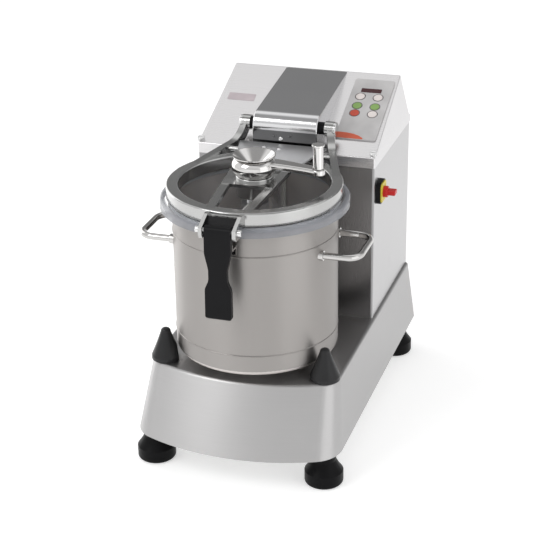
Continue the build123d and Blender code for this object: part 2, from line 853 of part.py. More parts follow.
def make_control_board():
    """Board hung on four posts, its chips on the far side."""
    board = Pos(fascia_x, fascia_s, -board_drop) * extrude(Rectangle(board_width, board_length), board_sheet)
    post_low = board_drop - board_sheet
    for x in (-1, 1):
        for s in (-1, 1):
            place = Pos(fascia_x + x * (board_width / 2 - 5), fascia_s + s * (board_length / 2 - 7), -post_low)
            board += place * extrude(Circle(board_post_radius), post_low - column_sheet)
    chip = extrude(Rectangle(chip_side, chip_side), chip_height)
    chips = [Pos(fascia_x + x, fascia_s + s, -board_drop - chip_height) * chip for x, s in chip_places]
    return panel_plane * (board + chips)


# Main switch


def make_switch_base():
    half = switch_side / 2
    body = block(
        (column_half, column_half + switch_depth), (switch_y - half, switch_y + half), (switch_z - half, switch_z + half)
    )
    body = fillet(body.edges().filter_by(Axis.X), switch_corner)
    body += rod_x(15, column_half - 22, column_half, switch_y, switch_z)
    return body - rod_x(4 + running_fit, column_half - 4, column_half + switch_depth, switch_y, switch_z)


def make_switch_plate():
    half = switch_plate_side / 2
    low = column_half + switch_depth
    plate = block((low, low + switch_plate_sheet), (switch_y - half, switch_y + half), (switch_z - half, switch_z + half))
    plate = fillet(plate.edges().filter_by(Axis.X), switch_corner - 2)
    return plate - rod_x(6, low, low + switch_plate_sheet, switch_y, switch_z)


def make_switch_knob():
    """Round collar with a flat grip that lies level when the machine is off."""
    low = column_half + switch_depth + switch_plate_sheet + 0.3
    collar = rod_x(knob_radius, low, low + 8, switch_y, switch_z)
    collar = chamfer(collar.edges().group_by(Axis.X)[-1], 1)
    thick = knob_thickness / 2
    width = (switch_y - knob_half, switch_y + knob_half)
    grip = block((low + 6, knob_tip), width, (switch_z - thick, switch_z + thick))
    grip = fillet(grip.edges().filter_by(Axis.X), 2.5)
    grip = fillet(grip.faces().sort_by(Axis.X)[-1].edges(), 1.5)
    spindle = rod_x(4, column_half - 2, low + 1, switch_y, switch_z)
    return collar + grip + spindle


# Lid


def upright_plane(start, end):
    """Plane that stands on the line from start to end: local X along it, local Y up."""
    dx = end[0] - start[0]
    dy = end[1] - start[1]
    length = math.hypot(dx, dy)
    return Plane(origin=(start[0], start[1], 0), x_dir=(dx, dy, 0), z_dir=(dy, -dx, 0)), length


def arm_x(y):
    """Distance of an arm's middle line from the middle of the lid at a depth y."""
    return arm_middle + (hinge_y - y) * math.tan(arm_angle)


def make_lid_arm():
    """Bar that leaves the ring along its tangent and rises to the hinge like a hockey stick."""
    plane, length = upright_plane(arm_start, (arm_middle, hinge_y))
    low_knee = (length - arm_rise_low, arm_knee_low)
    low_middle = (length - arm_rise_low / 2, arm_knee_low + 12)
    low_end = (length - 4, hinge_z - arm_boss + 1)
    high_end = (length - 11, hinge_z + arm_boss / 2)
    high_middle = (length - 25, hinge_z - arm_boss)
    high_knee = (length - arm_rise_high, arm_knee_high)
    edges = Polyline(low_end, (length, hinge_z), high_end)
    edges += ThreePointArc(high_end, high_middle, high_knee)
    edges += Polyline(high_knee, (10, ring_top), (-30, ring_top), (-30, lid_top), (10, lid_top), low_knee)
    edges += ThreePointArc(low_knee, low_middle, low_end)
    bar = extrude(plane * make_face(edges), arm_bar / 2, both=True)
    bar -= block((0, arm_inside), (bowl_y, 2 * hinge_y), (lid_top, ridge_z))
    boss = rod_x(arm_boss, arm_inside, arm_outside, hinge_y, hinge_z)
    spot_face = rod_x(arm_boss, arm_outside, arm_outside + arm_boss, hinge_y, hinge_z)
    return bar + boss - spot_face


def make_spoke():
    """Bar from the front of the ring up to the hub, a little nearer the middle at the front."""
    front_y = bowl_y - math.sqrt(ring_middle**2 - spoke_front_x**2)
    plane, length = upright_plane((spoke_front_x, front_y), (spoke_rear_x, spoke_rear_y))
    section = polygon(
        (0, ring_top), (length, spoke_rear_top), (length, spoke_rear_top - spoke_sheet), (0, ring_top - spoke_sheet)
    )
    bar = extrude(plane * section, spoke_width / 2, both=True)
    return chamfer(bar.faces().sort_by(Axis.Z)[-1].edges().sort_by(Edge.length)[-2:], 1.5)


def make_lid_frame():
    """Cast ring with two arms, two spokes, a web round the hub and a crossbar."""
    ring_section = RectangleRounded(ring_outer - ring_inner, ring_top - lid_top, 3)
    ring = bowl_axis * turned(Pos(ring_middle, (ring_top + lid_top) / 2) * ring_section)
    web_low = plate_low - web_sheet
    web_rear = spoke_rear_y + web_depth
    web_front = bowl_y - lid_hub_radius - 10
    web = block((-spoke_rear_x, spoke_rear_x), (web_front, web_rear), (web_low, plate_low))
    ledge = block((-plate_front_half, plate_front_half), (spoke_rear_y, web_rear), (web_low, plate_low))
    hub = post(lid_hub_radius, lid_top, lid_hub_top, 0, bowl_y)
    hub = fillet(hub.edges().group_by(Axis.Z)[-1], 2)
    frame = ring + both_sides(make_lid_arm()) + both_sides(make_spoke()) + web + ledge + hub
    crossbar_end = arm_x(crossbar_y)
    frame += rod_x(crossbar_radius, -crossbar_end, crossbar_end, crossbar_y, plate_low - crossbar_radius)
    frame -= rod_x(hinge_shaft_radius + running_fit, -arm_outside, arm_outside, hinge_y, hinge_z)
    return frame - post(tube_outer + running_fit, lid_top, lid_hub_top, 0, bowl_y)


def make_lid_plate():
    """Plate that closes the frame between its arms and the web."""
    inner = arm_x(plate_rear_y) - arm_bar / 2 / math.cos(arm_angle) - plate_gap
    front_y = spoke_rear_y + 2 * plate_gap
    plan = polygon(
        (-plate_front_half, front_y), (plate_front_half, front_y), (inner, plate_rear_y), (-inner, plate_rear_y)
    )
    return Pos(0, 0, plate_low) * extrude(plan, plate_sheet)


def make_clear_lid():
    section = polygon(
        (lid_hole, lid_top - lid_sheet),
        (lid_hole, lid_top),
        (lid_radius, lid_top),
        (lid_radius, lid_skirt_foot),
        (lid_radius - lid_sheet, lid_skirt_foot),
        (lid_radius - lid_sheet, lid_top - lid_sheet),
    )
    corner = section.vertices().sort_by_distance(Vertex(lid_radius, lid_top, 0))[0]
    section = fillet(corner, lid_edge)
    return bowl_axis * turned(section)


def make_lid_gasket():
    height = lid_top - lid_sheet - bowl_rim_top
    section = RectangleRounded(gasket_width, height, 1.5)
    middle = (gasket_inner + gasket_width / 2, bowl_rim_top + height / 2)
    return bowl_axis * turned(Pos(*middle) * section)


def make_hinge_caps():
    """Domed washers that cover the ends of the hinge shaft."""
    cap = rod_x(arm_boss - 1, arm_outside, arm_outside + hinge_cap_sheet, hinge_y, hinge_z)
    cap = fillet(cap.edges().group_by(Axis.X)[-1], 1.5)
    cap -= rod_x(hinge_shaft_radius + fit_gap, arm_outside, hinge_shaft_half + fit_gap, hinge_y, hinge_z)
    return both_sides(cap)


def make_latch_bracket():
    """Two cheeks, joined by a bridge, that step from the ring over the edge of the clear lid."""
    skirt_front = bowl_y - lid_radius - 1
    bridge_rear_y = bridge_front_y + bridge_depth
    cheek = polygon(
        (bowl_y - ring_outer + 8, lid_top + 1),
        (skirt_front, lid_top + 1),
        (skirt_front, latch_pin_z - 13),
        (latch_pin_y - 6, latch_pin_z - 13),
        (latch_pin_y - 10, latch_pin_z - 6),
        (latch_pin_y - 10, latch_pin_z + 6),
        (bridge_front_y, bridge_top),
        (bridge_rear_y, bridge_top),
        (bowl_y - ring_outer + 8, ring_top - 2),
    )
    cheek = Pos(cheek_inside, 0, 0) * extrude(Plane.YZ * cheek, cheek_sheet)
    cheek -= rod_x(latch_pin_radius, cheek_inside, cheek_inside + cheek_sheet, latch_pin_y, latch_pin_z)
    cheek -= post(ring_outer, lid_top, bridge_top, 0, bowl_y)
    width = (-cheek_inside, cheek_inside)
    bridge = block(width, (bridge_front_y, bridge_rear_y), (bridge_top - bridge_sheet, bridge_top))
    return both_sides(cheek) + bridge


def make_latch_pin():
    pin = rod_x(latch_pin_radius, -latch_pin_half, latch_pin_half, latch_pin_y, latch_pin_z)
    head_start = cheek_inside + cheek_sheet
    head = rod_x(latch_pin_radius + 2, head_start, latch_pin_half, latch_pin_y, latch_pin_z)
    head = fillet(head.edges().group_by(Axis.X)[-1], 1.5)
    return pin + both_sides(head)


def make_latch_lever():
    """Long plastic lever with a waist, a barrel round the pin and a nose at the back."""
    edge = [
        (latch_half, latch_pin_z),
        (latch_half, latch_shoulder),
        (latch_waist, latch_waist_high),
        (latch_waist, latch_waist_low),
        (latch_half, latch_hip),
        (latch_half, latch_foot),
    ]
    outline = polygon(*edge, *[(-x, z) for x, z in reversed(edge)])
    corners = outline.vertices().sort_by(Axis.Y)
    outline = fillet(corners[2:-2], 22)
    outline = fillet(outline.vertices().sort_by(Axis.Y)[:2], 6)
    front = extrude(Plane.XZ * outline, 500)
    back_y = latch_front_y + latch_thickness
    side = polygon(
        (latch_pin_y - latch_barrel, latch_pin_z),
        (latch_pin_y + 5, latch_pin_z),
        (back_y, latch_pin_z - 30),
        (back_y - 3, latch_foot + 60),
        (back_y - 3, latch_foot + 3),
        (back_y - 5, latch_foot),
        (latch_front_y + 3, latch_foot),
        (latch_front_y, latch_foot + 3),
    )
    lever = front & across(side, latch_half)
    front_face = lever.faces().sort_by(Axis.Y)[0]
    lever = fillet([edge for edge in front_face.edges() if edge.center().Z < latch_pin_z - 1], 2)
    barrel = rod_x(latch_barrel, -latch_half, latch_half, latch_pin_y, latch_pin_z)
    nose_tip = catch_front_y - 1.5
    nose = block((-10, 10), (back_y - 4, nose_tip), (catch_low + 4, catch_high + 2))
    neck = block((-10, 10), (back_y - 4, back_y + 8), (catch_high, latch_pin_z - 6))
    lever = lever + barrel + nose + neck
    return lever - rod_x(latch_pin_radius + running_fit, -latch_half, latch_half, latch_pin_y, latch_pin_z)


def make_latch_cover():
    """Sloping plastic plate between the cheeks, from the bridge down to the barrel of the lever."""
    bridge_foot = bridge_top - bridge_sheet
    rear_y = bridge_front_y + bridge_depth
    plate = polygon(
        (rear_y, bridge_foot),
        (bridge_front_y, bridge_foot),
        (bridge_front_y - 11, bridge_foot - 13),
        (bridge_front_y - 11 + latch_cover_sheet, bridge_foot - 13 - latch_cover_sheet / 2),
        (bridge_front_y + 2, bridge_foot - latch_cover_sheet),
        (rear_y, bridge_foot - latch_cover_sheet),
    )
    return across(plate, cheek_inside)


# Crank and scraper


def funnel_cone(inset, top):
    """Solid with the form of the funnel's outside, drawn in or out, up to a height."""
    throat = tube_inner + funnel_sheet - inset
    slope = (funnel_radius - tube_inner - funnel_sheet) / (funnel_top - funnel_foot)
    rim = throat + slope * (top - funnel_foot)
    return turned(polygon((0, funnel_foot), (throat, funnel_foot), (rim, top), (0, top)))


def arm_section(x, width, high):
    """Rounded cross-section of the crank's arm at a distance x from its axis."""
    height = crank_tip_high - crank_low
    plane = Plane(origin=(x, 0, high - height / 2), x_dir=(0, 1, 0), z_dir=(1, 0, 0))
    return plane * RectangleRounded(width, height, crank_round)


def make_crank_arm():
    """Domed hub with a tapered arm that drops a little towards its tip."""
    low = lid_hub_top + crank_gap
    foot = (lid_hub_radius - 2, low)
    shoulder = (crank_hub_radius - 6, crank_high)
    edges = Polyline((0, crank_high), (0, low), foot)
    edges += ThreePointArc(foot, (crank_hub_radius, funnel_foot), shoulder)
    edges += Line(shoulder, (0, crank_high))
    hub = turned(make_face(edges))
    arm = loft([
        arm_section(tube_outer, 2 * crank_root_half, crank_high - 1),
        arm_section(crank_reach / 2, crank_root_half + crank_tip_radius, crank_high - 3),
        arm_section(crank_reach, 2 * crank_tip_radius - 2, crank_tip_high),
    ])
    tip = post(crank_tip_radius, crank_low, crank_tip_high, crank_reach, 0)
    arm += fillet(tip.edges(), 3)
    arm = hub + arm - post(tube_outer, low, funnel_foot) - funnel_cone(-fit_gap, crank_high)
    grip_seat = post(crank_tip_radius, crank_tip_high, crank_high, crank_reach, 0)
    arm -= post(crank_pin_radius, crank_low, crank_high, crank_reach, 0) + grip_seat
    return bowl_axis * arm


def make_crank_pin():
    pin = post(crank_pin_radius, crank_low, crank_pin_top)
    disc = post(11, crank_pin_top - 3, crank_pin_top)
    disc = fillet(disc.edges().group_by(Axis.Z)[-1], 1)
    return Pos(crank_reach, bowl_y, 0) * (pin + disc)


def make_crank_grip():
    grip = post(grip_radius, grip_low, grip_high)
    grip = fillet(grip.edges(), 1)
    return Pos(crank_reach, bowl_y, 0) * (grip - post(crank_pin_radius + running_fit, grip_low, grip_high))


def make_funnel():
    """Wide polished cone with a thick lip that leads into the hollow shaft of the scraper."""
    lip = tube(funnel_radius, funnel_radius - 2 * funnel_sheet, funnel_top - funnel_sheet, funnel_top)
    cone = funnel_cone(0, funnel_top) + lip
    return bowl_axis * (cone - funnel_cone(funnel_sheet, funnel_top))


def make_scraper_shaft():
    return tube(tube_outer, tube_inner, scraper_hub_low, funnel_foot, 0, bowl_y)


def make_scraper_frame():
    """Hub, an arm to the wall with a long blade holder and a short arm under the lid."""
    back = scraper_reach - wiper_depth
    heights = (scraper_arm_low, scraper_arm_high)
    width = (-holder_sheet, holder_sheet)
    hub = tube(scraper_hub, tube_outer, scraper_hub_low, scraper_top + base_sheet)
    arm = block(width, (scraper_hub - 4, back), heights)
    short = block((1 - holder_sheet, holder_sheet - 1), (-scraper_reach + holder_sheet, 4 - scraper_hub), heights)
    holder = block(width, (back - holder_sheet, back), (scraper_foot + 4, scraper_arm_high))
    brace = across(
        polygon((back - 47, scraper_arm_low), (back - 4, scraper_arm_low), (back - 4, scraper_arm_low - 40)),
        holder_sheet / 2,
    )
    arms = [fillet(bar.edges().filter_by(Axis.Y), 3) for bar in (arm, short)]
    return bowl_axis * (hub + arms + holder + brace)


def make_wall_wiper():
    """Plastic blade that follows the wall of the bowl."""
    strip = tube(scraper_reach, scraper_reach - wiper_lip, scraper_foot, scraper_top)
    strip = strip & block((-wiper_half, wiper_half), (0, scraper_reach + 1), (scraper_foot, scraper_top))
    rail_y = (scraper_reach - wiper_depth, scraper_reach - wiper_lip + 1)
    rail = block((-holder_sheet, holder_sheet), rail_y, (scraper_foot + 2, scraper_top - 2))
    return bowl_axis * (strip + rail)


def make_lid_wiper():
    """Plastic blade under the clear lid, on the short arm."""
    edge = lid_top - lid_sheet - 1
    body = block((-5, 5), (-scraper_reach + 6, -scraper_hub - 2), (scraper_arm_high, edge - 5))
    tip = polygon((-5, edge - 5), (5, edge - 5), (1, edge), (-1, edge))
    tip = Pos(0, -scraper_hub - 2, 0) * extrude(Plane.XZ * tip, scraper_reach - scraper_hub - holder_sheet)
    return bowl_axis * (body + tip)


nodes = {
    "base_housing": make_base_housing(),
    "base_floor": make_base_floor(),
    "feet": make_feet(),
    "foot_studs": make_foot_studs(),
    "bowl_guides": make_bowl_guides(),
    "cable_gland": make_cable_gland(),
    "bearing_housing": make_bearing_housing(),
    "shaft_bearings": make_shaft_bearings(),
    "rotor_pulley": bowl_axis * pulley(rotor_pulley_radius, shaft_radius),
    "motor_pulley": Pos(0, motor_y, 0) * pulley(motor_pulley_radius, motor_shaft_radius),
    "drive_belt": make_drive_belt(),
    "motor_body": make_motor_body(),
    "motor_shaft": make_motor_shaft(),
    "bowl_body": make_bowl_body(),
    "bowl_handles": make_bowl_handles(),
    "bowl_catch": make_bowl_catch(),
    "drive_shaft": make_drive_shaft(),
    "rotor_hub": make_rotor_hub(),
    "blade_lower": make_blade(lower_blade_z, 0),
    "blade_upper": make_blade(upper_blade_z, 90),
    "blade_spacer": make_blade_spacer(),
    "rotor_cap": make_rotor_cap(),
    "column_shell": make_column_shell(),
    "column_back": make_column_back(),
    "head_cover": make_head_cover(),
    "head_screws": make_head_screws(),
    "lid_arm_cover": make_lid_arm_cover(),
    "hinge_brackets": make_hinge_brackets(),
    "hinge_shaft": make_hinge_shaft(),
    "hinge_spacers": make_hinge_spacers(),
    "control_panel": make_control_panel(),
    "display_window": make_display_window(),
    "control_board": make_control_board(),
    "switch_base": make_switch_base(),
    "switch_plate": make_switch_plate(),
    "switch_knob": make_switch_knob(),
    "lid_frame": make_lid_frame(),
    "lid_plate": make_lid_plate(),
    "clear_lid": make_clear_lid(),
    "lid_gasket": make_lid_gasket(),
    "hinge_caps": make_hinge_caps(),
    "latch_bracket": make_latch_bracket(),
    "latch_pin": make_latch_pin(),
    "latch_lever": make_latch_lever(),
    "latch_cover": make_latch_cover(),
    "crank_arm": make_crank_arm(),
    "crank_pin": make_crank_pin(),
    "crank_grip": make_crank_grip(),
    "funnel": make_funnel(),
    "scraper_shaft": make_scraper_shaft(),
    "scraper_frame": make_scraper_frame(),
    "wall_wiper": make_wall_wiper(),
    "lid_wiper": make_lid_wiper(),
}
for number, place in enumerate(key_places(), start=1):
    nodes[f"key_{number}"] = make_key(*place)

save_all(nodes)
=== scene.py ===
# %% [markdown]
# A vegetable chopping machine is nearly all stainless steel, and steel has hardly any colour of its own.
# What you see on it is the room it stands in, so this lesson spends as much care on the room and on the
# grain of each sheet as on the shapes. The machine's solid parts are loaded first and stay exactly where
# they are. Everything here is in metres: X to the right, the bowl towards -Y, Z up from the table.

# %% Load the machine
import math

import bmesh
import bpy
from mathutils import Matrix, Vector


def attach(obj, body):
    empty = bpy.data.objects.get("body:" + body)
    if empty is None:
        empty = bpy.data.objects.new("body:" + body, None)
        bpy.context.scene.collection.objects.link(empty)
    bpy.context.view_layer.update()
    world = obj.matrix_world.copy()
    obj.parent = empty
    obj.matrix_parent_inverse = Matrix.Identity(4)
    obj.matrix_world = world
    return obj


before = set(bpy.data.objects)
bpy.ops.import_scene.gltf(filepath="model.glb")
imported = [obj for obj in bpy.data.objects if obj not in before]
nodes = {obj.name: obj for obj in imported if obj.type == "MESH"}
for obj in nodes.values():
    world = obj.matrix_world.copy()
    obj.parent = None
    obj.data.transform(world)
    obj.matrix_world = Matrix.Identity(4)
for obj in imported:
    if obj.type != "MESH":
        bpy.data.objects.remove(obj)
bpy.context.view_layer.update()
scene = bpy.context.scene
scene.view_settings.view_transform = "Standard"

# %% [markdown]
# The camera comes before the finishes, because every later choice is made for its view. It stands nearly
# three metres away with a long lens, so the machine hardly narrows towards the back. A camera could be
# aimed with a constraint, but this one is also rolled by a small angle. So it is turned by a set of axes:
# one that points back at the camera, one to the right and one up.

# %% The camera
IMAGE_SIDE = 550
SENSOR = 36.0
FOCAL_PIXELS = 1545.33
AZIMUTH = math.radians(17.84)
ELEVATION = math.radians(24.22)
ROLL = math.radians(-0.82)
DISTANCE = 2.79992
TARGET = Vector((0.02683, -0.10844, 0.32502))


def make_camera():
    back = Vector((
        math.sin(AZIMUTH) * math.cos(ELEVATION),
        -math.cos(AZIMUTH) * math.cos(ELEVATION),
        math.sin(ELEVATION),
    ))
    level = Vector((math.cos(AZIMUTH), math.sin(AZIMUTH), 0.0))
    upright = back.cross(level)
    right = level * math.cos(ROLL) + upright * math.sin(ROLL)
    up = upright * math.cos(ROLL) - level * math.sin(ROLL)
    data = bpy.data.cameras.new("camera")
    data.sensor_width = SENSOR
    data.lens = SENSOR * FOCAL_PIXELS / IMAGE_SIDE
    camera = bpy.data.objects.new("camera", data)
    turned = Matrix((right, up, back)).transposed().to_4x4()
    camera.matrix_world = Matrix.Translation(TARGET + back * DISTANCE) @ turned
    scene.collection.objects.link(camera)
    scene.camera = camera
    return camera


camera = make_camera()
print("lens", round(camera.data.lens, 1), "mm from", tuple(round(x, 3) for x in camera.location))

# %% [markdown]
# The room, the floor and every finish are node trees. A tree can be clicked together by hand, but in a
# script each node takes several lines. This small class gives the steps short names: make a node, link it,
# do a sum, and turn one range of numbers into another.

# %% A helper for node trees


class Tree:
    """Short names for the steps of building a node tree."""

    def __init__(self, tree):
        self.tree = tree

    def node(self, kind, **settings):
        made = self.tree.nodes.new(kind)
        for key, value in settings.items():
            setattr(made, key, value)
        return made

    def link(self, output, socket):
        self.tree.links.new(output, socket)

    def split(self, vector):
        made = self.node("ShaderNodeSeparateXYZ")
        self.link(vector, made.inputs[0])
        return made.outputs

    def math(self, operation, first, second=0.0):
        made = self.node("ShaderNodeMath", operation=operation)
        for socket, value in zip(made.inputs, (first, second)):
            if isinstance(value, (int, float)):
                socket.default_value = value
            else:
                self.link(value, socket)
        return made.outputs[0]

    def remap(self, value, start, end, low=0.0, high=1.0, kind="LINEAR"):
        """Start becomes low and end becomes high, and beyond them the level is held."""
        made = self.node("ShaderNodeMapRange", interpolation_type=kind)
        made.inputs["From Min"].default_value = start
        made.inputs["From Max"].default_value = end
        made.inputs["To Min"].default_value = low
        made.inputs["To Max"].default_value = high
        self.link(value, made.inputs["Value"])
        return made.outputs[0]

    def rise(self, value, start, end):
        """Zero up to the start, one from the end on; the end may be the smaller number."""
        return self.remap(value, start, end, kind="SMOOTHSTEP")


def grey(level):
    return (level, level, level, 1.0)


print("node trees ready")

# %% [markdown]
# Polished steel is a mirror, so the room is drawn as bands of light around the machine. A panorama of a
# studio could be wrapped round it, but bands are easier to move. They are set by one angle, measured in the
# plane that runs from the back over the top to the front: a bright panel hangs overhead towards the back,
# the wall behind is a quiet grey down to a bright strip, and the front is pale and brightest at the
# horizon. Towards the two sides the bands give way to one even light, which draws the edges of every round
# form. Nothing here depends on where the camera stands.

# %% The room
ROOM_BANDS = (
    (-180, 0.50),
    (-90, 1.00),
    (-83, 0.90),
    (-77, 0.40),
    (-64, 0.24),
    (-44, 0.34),
    (-30, 1.10),
    (-12, 1.10),
    (2, 0.45),
    (24, 0.40),
    (36, 0.95),
    (56, 0.80),
    (68, 0.70),
    (76, 1.20),
    (98, 1.10),
    (112, 0.50),
    (180, 0.50),
)
ROOM_PEAK = 1.4
SIDE_LIGHT = 0.94
SIDE_START = 0.50
SIDE_FULL = 0.85


def paint_bands(ramp):
    stops = ramp.color_ramp.elements
    for number, (degrees, level) in enumerate(ROOM_BANDS):
        position = (degrees + 180) / 360
        stop = stops[number] if number < 2 else stops.new(position)
        stop.position = position
        stop.color = grey(level / ROOM_PEAK)


def make_room():
    world = bpy.data.worlds.new("studio")
    scene.world = world
    world.use_nodes = True
    room = Tree(world.node_tree)
    direction = room.split(room.node("ShaderNodeTexCoord").outputs["Generated"])
    angle = room.math("ARCTAN2", room.math("MULTIPLY", direction["Y"], -1.0), direction["Z"])
    bands = room.node("ShaderNodeValToRGB")
    paint_bands(bands)
    room.link(room.remap(angle, -math.pi, math.pi), bands.inputs[0])
    sideways = room.math("ABSOLUTE", direction["X"])
    mixed = room.node("ShaderNodeMixRGB")
    mixed.inputs["Color2"].default_value = grey(SIDE_LIGHT / ROOM_PEAK)
    room.link(room.rise(sideways, SIDE_START, SIDE_FULL), mixed.inputs["Fac"])
    room.link(bands.outputs["Color"], mixed.inputs["Color1"])
    background = room.tree.nodes["Background"]
    room.link(mixed.outputs["Color"], background.inputs["Color"])
    background.inputs["Strength"].default_value = ROOM_PEAK


make_room()
print("room bands", len(ROOM_BANDS))

# %% [markdown]
# The room gives most of the light, and one large soft lamp at the front left gives the shadows their
# direction. Its power is low: a stronger one would bleach the pale steel. Two weak upright panels, one on
# the right and one behind on the left, add tall soft highlights to the bowl and the column. They could be
# bands of the room, but a lamp stands near, and its light falls off as a real panel's does.

# %% The lamps
BOWL_Y = -0.134
LAMP_PLACE = Vector((-1.6, -1.9, 2.6))
LAMP_SIDE = 1.5
LAMP_POWER = 26.0
SIDE_LAMPS = (("right", 68, 3.0), ("left", -118, 6.0))
SIDE_LAMP_REACH = 1.5
SIDE_LAMP_WIDTH = 1.1
SIDE_LAMP_HEIGHT = 1.6


def make_lamp(name, place, width, height, power, aim):
    data = bpy.data.lights.new(name, "AREA")
    data.shape = "RECTANGLE"
    data.size, data.size_y = width, height
    data.energy = power
    lamp = bpy.data.objects.new(name, data)
    lamp.location = place
    lamp.rotation_euler = (aim - place).to_track_quat("-Z", "Y").to_euler()
    lamp.visible_camera = False
    scene.collection.objects.link(lamp)


make_lamp("key_lamp", LAMP_PLACE, LAMP_SIDE, LAMP_SIDE, LAMP_POWER, TARGET)
for name, azimuth, power in SIDE_LAMPS:
    turn = math.radians(azimuth)
    aim = Vector((0, BOWL_Y, SIDE_LAMP_HEIGHT / 2))
    place = aim + Vector((math.sin(turn), -math.cos(turn), 0)) * SIDE_LAMP_REACH
    make_lamp(f"{name}_lamp", place, SIDE_LAMP_WIDTH, SIDE_LAMP_HEIGHT, power, aim)
print("lamps", 1 + len(SIDE_LAMPS))

# %% [markdown]
# The machine stands on white paper. More light would whiten the paper, but bleach the machine with it. So
# the paper glows a little instead, only where it is seen straight or in a mirror, and it still takes the
# machine's shadow.

# %% The floor
FLOOR_SIDE = 24.0
FLOOR_GLOW = 0.46
PAPER = {
    "Base Color": grey(0.80),
    "Roughness": 0.9,
    "Specular IOR Level": 0.1,
    "Emission Color": grey(1.0),
}


def make_paper():
    material = bpy.data.materials.new("pale_floor")
    material.use_nodes = True
    paper = Tree(material.node_tree)
    shader = paper.tree.nodes["Principled BSDF"]
    for socket, value in PAPER.items():
        shader.inputs[socket].default_value = value
    ray = paper.node("ShaderNodeLightPath")
    seen = ray.outputs["Is Camera Ray"]
    for kind in ("Is Glossy Ray", "Is Transmission Ray"):
        seen = paper.math("MAXIMUM", seen, ray.outputs[kind])
    paper.link(paper.math("MULTIPLY", seen, FLOOR_GLOW), shader.inputs["Emission Strength"])
    return material


def make_floor():
    half = FLOOR_SIDE / 2
    corners = [(-half, -half, 0), (half, -half, 0), (half, half, 0), (-half, half, 0)]
    mesh = bpy.data.meshes.new("floor")
    mesh.from_pydata(corners, [], [(0, 1, 2, 3)])
    mesh.materials.append(make_paper())
    floor = bpy.data.objects.new("floor", mesh)
    scene.collection.objects.link(floor)


make_floor()
print("floor", FLOOR_SIDE, "m wide")

# %% [markdown]
# The scratches in a sheet and the texture that a mould leaves have a size in millimetres. A texture laid on
# like wallpaper would need unwrapping and would stretch. Here every noise is read from the object's own
# place in metres, so a grain has a real size and stays put when a part moves. On a round piece the place is
# read as an angle about an upright axis, a radius and a height, and then the grain runs round it.

# %% Places and noises
NOISE_SPAN = (0.3, 0.7)


class Grain(Tree):
    """Points on the object, and the noises read from them."""

    def point(self):
        return self.node("ShaderNodeTexCoord").outputs["Object"]

    def place(self, scale=(1.0, 1.0, 1.0)):
        """The point on the object in metres, each axis multiplied by its scale."""
        mapping = self.node("ShaderNodeMapping")
        mapping.inputs["Scale"].default_value = scale
        self.link(self.point(), mapping.inputs["Vector"])
        return mapping.outputs["Vector"]

    def polar(self, centre):
        """The angle about an upright axis, the radius and the height, the last two in metres."""
        point = self.split(self.point())
        x = self.math("SUBTRACT", point["X"], centre[0])
        y = self.math("SUBTRACT", point["Y"], centre[1])
        square = self.math("ADD", self.math("MULTIPLY", x, x), self.math("MULTIPLY", y, y))
        return self.math("ARCTAN2", y, x), self.math("SQRT", square), point["Z"]

    def scaled(self, values, factors):
        """Three values as one vector, each multiplied by its factor."""
        joined = self.node("ShaderNodeCombineXYZ")
        for name, value, factor in zip("XYZ", values, factors):
            self.link(self.math("MULTIPLY", value, factor), joined.inputs[name])
        return joined.outputs[0]

    def noise(self, vector, scale=1.0, detail=2.0):
        texture = self.node("ShaderNodeTexNoise")
        texture.inputs["Scale"].default_value = scale
        texture.inputs["Detail"].default_value = detail
        self.link(vector, texture.inputs["Vector"])
        return texture.outputs["Fac"]

    def blend(self, first, second, share):
        """A share of the first noise with the rest of the second."""
        rest = self.math("MULTIPLY", second, 1 - share)
        return self.math("ADD", self.math("MULTIPLY", first, share), rest)

    def spread(self, noise, low, high):
        """Stretches a noise, which stays near one half, to a range."""
        return self.remap(noise, *NOISE_SPAN, low, high)


print("noises ready")

# %% [markdown]
# A finish is a small recipe: a colour and a roughness, then one or two noises that change them or lift the
# surface. One even value for a whole sheet looks like paint, because real metal is never polished or wiped
# quite evenly. The class below holds the shader and each thing that a recipe can do to it.

# %% A helper for recipes
QUARTER_TURN = 0.25


